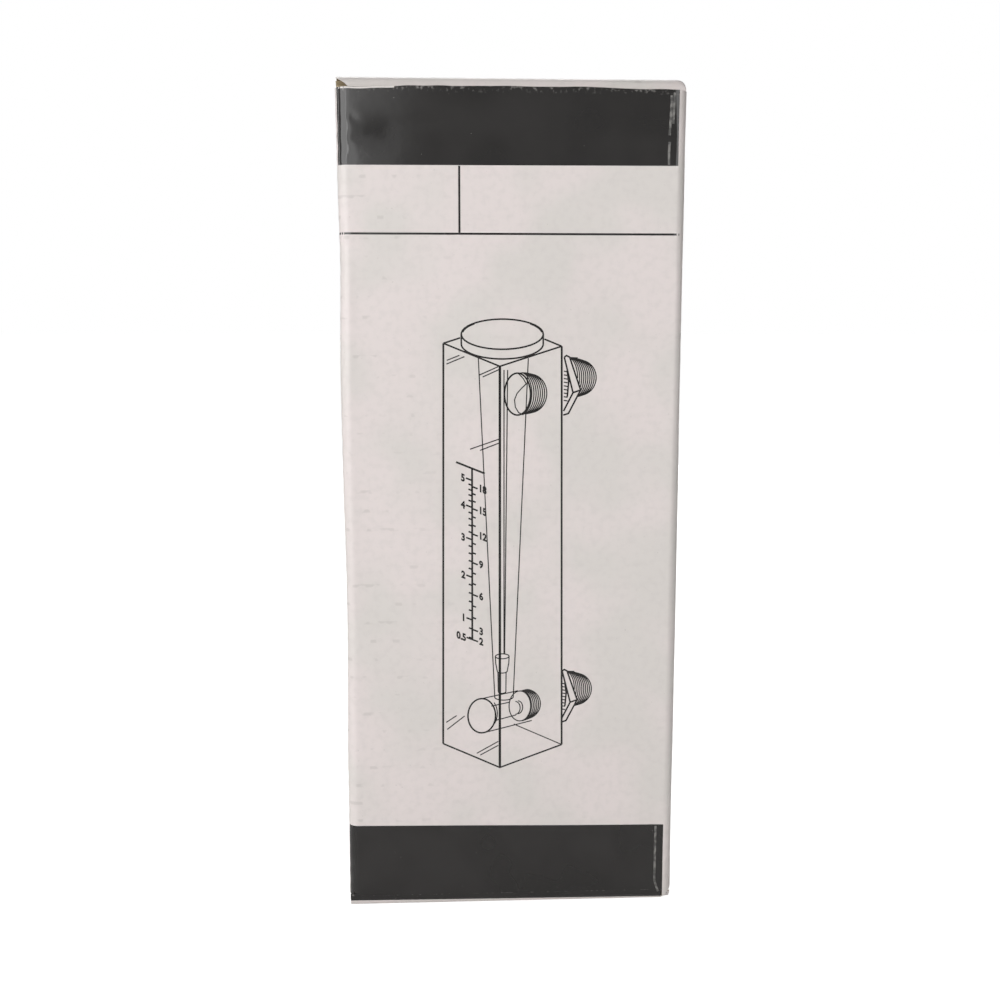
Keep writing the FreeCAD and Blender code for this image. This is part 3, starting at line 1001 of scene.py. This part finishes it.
DISC = (-9.4, 63.2)
fine += [oval(DISC, 4.35, 5.6)]
hair += [[(-9.4, 68.8), (2.0, 71.2)], [(-8.9, 57.6), (6.4, 61.4)],
         [(-6.4, 66.3), (-0.6, 67.5)], [(-5.0, 61.6), (1.4, 63.3)],
         oval((-7.4, 63.9), 2.9, 4.6, -50, 50, 14), oval((2.6, 66.2), 3.4, 4.9),
         [(2.6, 71.1), (6.4, 71.2)],
         oval((1.2, 65.6), 1.5, 2.1, -90, 90, 14), oval((2.0, 65.8), 1.5, 2.1, -90, 90, 14)]
thread = [oval((2.9 + 0.3 * turn, 66.3 + 0.1 * turn), 3.4 + 0.26 * turn, 5.0 - 0.008 * turn ** 2,
               -82, 84, 22) for turn in range(6)]
fine += [oval((1.65, 164.2), 3.95, 6.35)]
hair += [[(1.0, 170.4), (3.4, 170.65)], [(1.6, 157.9), (3.4, 158.05)],
         [(1.85, 170.5), (3.4, 168.9), (4.3, 167.3), (2.9, 166.0), (1.5, 164.4), (0.75, 162.5),
          (1.0, 160.3), (2.0, 158.6), (3.5, 157.9)]]
thread += [oval((2.7 + 0.4 * turn, 164.4), 3.3 + 0.25 * turn, 6.3 - 0.01 * turn ** 2,
                -84, 86, 26) for turn in range(8)]


def nut_side(v):
    """Where the nut's right side is at a height."""
    return 5.35 - 0.343 * (v + 1.4) if v > -1.4 else 5.35 + 0.514 * (v + 1.4)


def back_fitting(foot, size):
    """A hexagon nut and a threaded stub behind the block's right edge."""
    nut = [[(0.3, 8.5), (1.0, 9.0), (1.95, 8.5), (5.35, -1.4), (1.7, -8.5), (0.1, -9.0)],
           [(0.3, 8.5), (3.05, -2.2), (5.35, -1.4)], [(3.05, -2.2), (0.2, -7.8)],
           [(1.2, 4.6), (1.7, 1.0), (1.3, -3.4)]]
    knurl = [[(0.2, step + 0.1), (1.4, step - 0.1)] for step in np.arange(-4.6, 4.4, 1.1)]
    stub = [[(2.0, 8.4), (4.4, 8.3)]]
    for turn in range(10):
        arc = oval((1.4 + 0.41 * turn, 2.3), 3.0 + 0.22 * turn, 6.1 - 0.01 * turn ** 2, -86, 88, 34)
        stub.append([point for point in arc if point[0] > nut_side(point[1]) + 0.15])
    return [[[(foot[0] + size * u, foot[1] + size * v) for u, v in stroke] for stroke in part]
            for part in (nut, knurl + stub)]


for foot, size in (((15.5, 166.8), 1.0), ((15.6, 69.3), 0.95)):
    nut, stub = back_fitting(foot, size)
    fine += nut
    thread += stub
hair += [[(-19.7, 174.4), (-15.9, 175.9)], [(-19.8, 173.3), (-14.4, 175.5)],
         [(-10.1, 169.9), (-4.2, 172.5)], [(-8.9, 169.4), (-4.0, 171.6)],
         [(-12.8, 147.5), (-3.8, 150.6)], [(-9.8, 147.1), (-3.8, 149.4)],
         [(-20.6, 61.2), (-17.3, 63.4)], [(-20.3, 58.9), (-14.8, 63.2)],
         [(-11.0, 50.9), (-4.2, 54.7)], [(-9.9, 50.3), (-4.2, 53.4)]]

# %% [markdown]
# The scale is not even: the tube widens upwards, so the marks crowd together at the top. One
# rule places every mark, in gallons on the left and in litres on the right.

# %% Scale marks
SCALE_U = -12.2
SCALE_LOW, SCALE_HIGH = 87.9, 141.6
LITRES = 3.785      # in a gallon
numbers = []


def mark_height(flow):
    return max(SCALE_LOW, 78.9 + 16.12 * flow - 0.864 * flow ** 2)


def slanted(u, v):
    """A place on the block's left face: it falls as it goes right."""
    return (SCALE_U + u, v + SLANT * u)


def mark(flow, start, end):
    fine.append([slanted(start, mark_height(flow)), slanted(end, mark_height(flow))])


medium.append([(SCALE_U, SCALE_HIGH), (SCALE_U - 0.1, SCALE_LOW)])
medium.append([slanted(-4.9, SCALE_HIGH), slanted(3.9, SCALE_HIGH)])
for flow in (0.5, 1, 2, 3, 4, 5):
    mark(flow, -1.9, 0.1)
    numbers.append((str(flow), slanted(-2.8 - 0.7 * (flow < 1), mark_height(flow) - 0.35)))
for flow in (2, 3, 6, 9, 12, 15, 18):
    mark(flow / LITRES, -0.1, 1.7)
    numbers.append((str(flow), slanted(2.7 + 0.5 * (flow > 9), mark_height(flow / LITRES) + 0.3)))
for flow in np.arange(0.6, 5.1, 0.2):
    mark(flow, -1.15, 0.05)
for flow in range(2, 19):
    mark(flow / LITRES, -0.05, 1.1)
print(len(heavy + medium + fine + hair + thread), "strokes and", len(numbers), "numbers")

# %% [markdown]
# ## Inking the strokes
# A stroke is divided into short runs, so that its ribbon can follow the dents of the board. The
# nib is a flat rectangle. The ribbons lie half sunk in the liner's face, because a line of ink
# has no height that an eye could see.

# %% Ink ribbons
INK = 0.04          # a ribbon's thickness
RUN = 1.0           # the longest straight run of a ribbon
SEAL = 0.0001
NUMERAL, BOLDER, NARROWED = 3.1, 0.15, 0.78


def short_runs(stroke):
    points = [stroke[0]]
    for start, end in zip(stroke, stroke[1:]):
        count = max(1, math.ceil(math.dist(start, end) / RUN))
        points += [between(start, end, step / count) for step in range(1, count + 1)]
    return points


def to_mesh():
    """Turns the open curve or text into a mesh. Its ends are joined to its sides, and all its
    faces are turned outward."""
    bpy.ops.object.convert(target="MESH")
    bpy.ops.object.mode_set(mode="EDIT")
    bpy.ops.mesh.select_all(action="SELECT")
    bpy.ops.mesh.remove_doubles(threshold=SEAL)
    bpy.ops.mesh.normals_make_consistent(inside=False)
    close_sheet()
    return bpy.context.object


def start_curve(name):
    curve = bpy.data.curves.new(name, "CURVE")
    holder = bpy.data.objects.new(name, curve)
    bpy.context.collection.objects.link(holder)
    return curve, holder


def add_line(curve, points, closed):
    line = curve.splines.new("POLY")
    line.points.add(len(points) - 1)
    for point, (u, v) in zip(line.points, points):
        point.co = (u, v, 0, 1)
    line.use_cyclic_u = closed


def ink_strokes(name, strokes, width):
    """Ribbons of ink, made with a pen curve and a flat nib."""
    nib, nib_holder = start_curve(name + "_nib")
    add_line(nib, [(u * width / 2, v * INK / 2) for u, v in (
        (-1, -1), (1, -1), (1, 1), (-1, 1))], True)
    pen, pen_holder = start_curve(name)
    pen.dimensions = "2D"
    pen.bevel_mode, pen.bevel_object, pen.use_fill_caps = "OBJECT", nib_holder, True
    for stroke in strokes:
        points = short_runs(stroke)
        closed = math.dist(points[0], points[-1]) < 1e-6
        add_line(pen, points[:-1] if closed else points, closed)
    pick(pen_holder)
    drawn = to_mesh()
    bpy.data.objects.remove(nib_holder)
    bpy.data.curves.remove(nib)
    return drawn


def ink_number(text, place):
    """One numeral of the scale, set on the slanted face."""
    bpy.ops.object.select_all(action="DESELECT")
    bpy.ops.object.text_add(location=(0, 0, 0))
    letter = bpy.context.object.data
    letter.body, letter.size, letter.resolution_u = text, NUMERAL, 4
    letter.align_x, letter.align_y = "CENTER", "CENTER"
    letter.extrude, letter.offset = INK / 2, BOLDER
    numeral = to_mesh()
    flat = corners(numeral)
    flat[:, 0] *= NARROWED
    flat[:, 1] += SLANT * flat[:, 0]
    flat[:, :2] += place
    move_corners(numeral, flat)
    return numeral


drawing = [ink_strokes(*line) for line in (
    ("meter_edge", heavy, 0.78), ("meter_sides", medium, 0.6), ("meter_lines", fine, 0.5),
    ("meter_fine", hair, 0.34), ("meter_thread", thread, 0.35))]
drawing += [ink_number(*number) for number in numbers]
for piece in drawing:
    give_finishes(piece, [black_ink])
pick(*drawing)
bpy.ops.object.join()
figure = bpy.context.object
figure.name = figure.data.name = "meter_drawing"
lay_on_walls(figure)

# %% [markdown]
# ## The header's rules
# Below the top band a thin rule crosses the front, and a short upright rule divides the header
# into two cells. Their words are left out, so the cells are bare.

# %% Header rules
def lay_strokes(name, strokes, width, finish):
    lines = ink_strokes(name, strokes, width)
    give_finishes(lines, [finish])
    lay_on_walls(lines)


RULE_V = 211.75
lay_strokes("header_rules", [[(-FRONT_HALF - 4.5, RULE_V), (FRONT_HALF + 1.7, RULE_V)],
                             [(-15.7, RULE_V + 0.05), (-15.7, 231.4)]], 0.62, black_ink)

# %% [markdown]
# ## Rubbed lines
# Beside the right fold the board was bent once and pushed back, so the ink of both bands is
# broken along an upright line. Their grey is partly that wear and partly a painted highlight of
# the light that the ridge of the bend catches, most in the bottom band. At the left the front
# wall's cut edge has curled and lost its ink. They are short strokes in the rubbed finish and in
# bare white.

# %% Rubbed lines with a painted ridge highlight, and the curled edge
# The grey strokes beside the right fold are partly rubbed ink and partly a painted highlight of the
# bend's ridge.
lay_strokes("rubbed_and_highlit_lines", [
    [(47.9, 252.6), (47.7, 247.5), (47.6, 243.8)], [(47.0, 251.8), (46.9, 247.0), (46.6, 240.5)],
    [(46.7, 238.6), (46.5, 235.6), (46.6, 231.9)],
    [(46.4, 25.6), (46.35, 13.0), (46.3, 7.4), (46.75, 5.6), (47.6, 3.4)]], 0.7, rubbed_ink_and_highlight)
lay_strokes("curled_edge", [
    [(-51.0, 253.1), (-46.0, 253.1), (-39.0, 253.15), (-34.5, 253.25)]], 0.42, white_liner)

# %% [markdown]
# ## Floor
# The carton stands on a pale floor. To the camera the floor also glows, so that it meets the
# white backdrop without a line and still keeps the carton's soft shadow.

# %% Floor
bpy.ops.object.select_all(action="DESELECT")
bpy.ops.mesh.primitive_plane_add(size=60, location=(0, 0, -0.0002))
floor = bpy.context.object
floor.name = "floor"
pale, tree, shader, _ = start_material("pale_floor")
fill(shader, {"Base Color": linear("#E6E5E3"), "Roughness": 0.9})
paths = add(tree, "LightPath").node.outputs
seen = add(tree, "Math", {0: paths["Is Camera Ray"], 1: 0.82}, **TIMES)
seen = add(tree, "Math", {
    0: paths["Is Glossy Ray"], 1: 0.22, 2: seen}, operation="MULTIPLY_ADD")
glow = add(tree, "Emission", {"Strength": seen})
lit = add(tree, "AddShader", {0: shader.outputs[0], 1: glow})
fill(tree.nodes["Material Output"], {"Surface": lit})
floor.data.materials.append(pale)

# %% [markdown]
# ## Surround and lamps
# The room is an even surround, darker overhead and to the right. Two low softboxes light the
# front without showing in its glossy bands. Two small ones show as a haze in the left end of the
# top band, a narrow strip draws the bright line on the left fold, and two weak lamps light the
# back and the top. A dark corner of the room behind the right side shows only in reflections,
# as the grey line on the right fold. To the camera the surround is white.

# %% World and lamps
world = bpy.data.worlds.new("white_surround")
bpy.context.scene.world = world
world.use_nodes = True
tree = world.node_tree
paths = add(tree, "LightPath").node.outputs
behind = add(tree, "Math", {
    0: paths["Is Camera Ray"], 1: paths["Is Transmission Ray"]}, operation="MAXIMUM")
heading = add(tree, "TexCoord", out="Generated")
heading = add(tree, "SeparateXYZ", {0: heading}).node.outputs
overhead = add(tree, "MapRange", {0: heading["Z"], 1: 0.1, 2: 0.8, 3: 0.52, 4: 0.2})
rightward = add(tree, "MapRange", {0: heading["X"], 1: 0.1, 2: 0.9, 3: 1.0, 4: 0.3})
level = add(tree, "Math", {0: overhead, 1: rightward}, **TIMES)
corner = add(tree, "Math", {0: heading["X"], 1: heading["Y"]}, operation="ADD")
corner = add(tree, "MapRange", {0: corner, 1: 0.4, 2: 1.1, 3: 1.0, 4: 0.1})
corner = add(tree, "Mix", {0: paths["Is Glossy Ray"], 2: 1.0, 3: corner})
level = add(tree, "Math", {0: level, 1: corner}, **TIMES)
surround = add(tree, "Background", {"Color": (1, 1, 1, 1), "Strength": level})
backdrop = add(tree, "Background", {"Color": (1, 1, 1, 1), "Strength": 1.0})
shown = add(tree, "MixShader", {0: behind, 1: surround, 2: backdrop})
fill(tree.nodes["World Output"], {"Surface": shown})


def softbox(name, place, width, height, radiance):
    """An evenly glowing rectangle that looks at the carton's middle."""
    lamp = bpy.data.lights.new(name, "AREA")
    lamp.shape, lamp.size, lamp.size_y = "RECTANGLE", width, height
    lamp.energy = radiance * math.pi * width * height
    stand = bpy.data.objects.new(name, lamp)
    stand.location = place
    aim = np.array((0, 0, HEIGHT / 2 * MM)) - np.array(place)
    stand.rotation_euler = (
        math.atan2(math.hypot(aim[0], aim[1]), -aim[2]), 0, math.atan2(aim[0], -aim[1]) + math.pi)
    bpy.context.collection.objects.link(stand)


for lamp in (("key_left", (-0.78, -1.0, 0.32), 1.2, 0.7, 3.75),
             ("fill_right", (0.48, -1.0, 0.32), 0.32, 0.7, 2.6),
             ("band_glow", (-0.215, -1.05, 0.45), 0.2, 0.4, 1.6),
             ("band_haze", (-0.13, -1.05, 0.45), 0.14, 0.4, 0.7),
             ("fold_strip", (-0.9, 0.02, 0.26), 0.05, 0.5, 8.0),
             ("back_fill", (0.5, 1.1, 0.22), 0.6, 0.4, 2.5),
             ("top_fill", (0.0, 0.7, 0.9), 0.5, 0.5, 3.0)):
    softbox(*lamp)

# %% [markdown]
# ## Camera
# The eye stands a little above the carton's middle and left of it, and looks slightly down.

# %% Camera
LOOK_DOWN, LOOK_RIGHT = 8.2275, 2.735       # degrees
camera = bpy.data.objects.new("camera", bpy.data.cameras.new("camera"))
bpy.context.collection.objects.link(camera)
camera.data.sensor_width, camera.data.lens = 36, 43.24
camera.data.clip_start = 0.01
camera.location = (-0.02106, -0.39319, 0.18455)
camera.rotation_euler = (math.radians(90 - LOOK_DOWN), 0, math.radians(-LOOK_RIGHT))
bpy.context.scene.camera = camera
bpy.context.scene.view_settings.view_transform = "Standard"
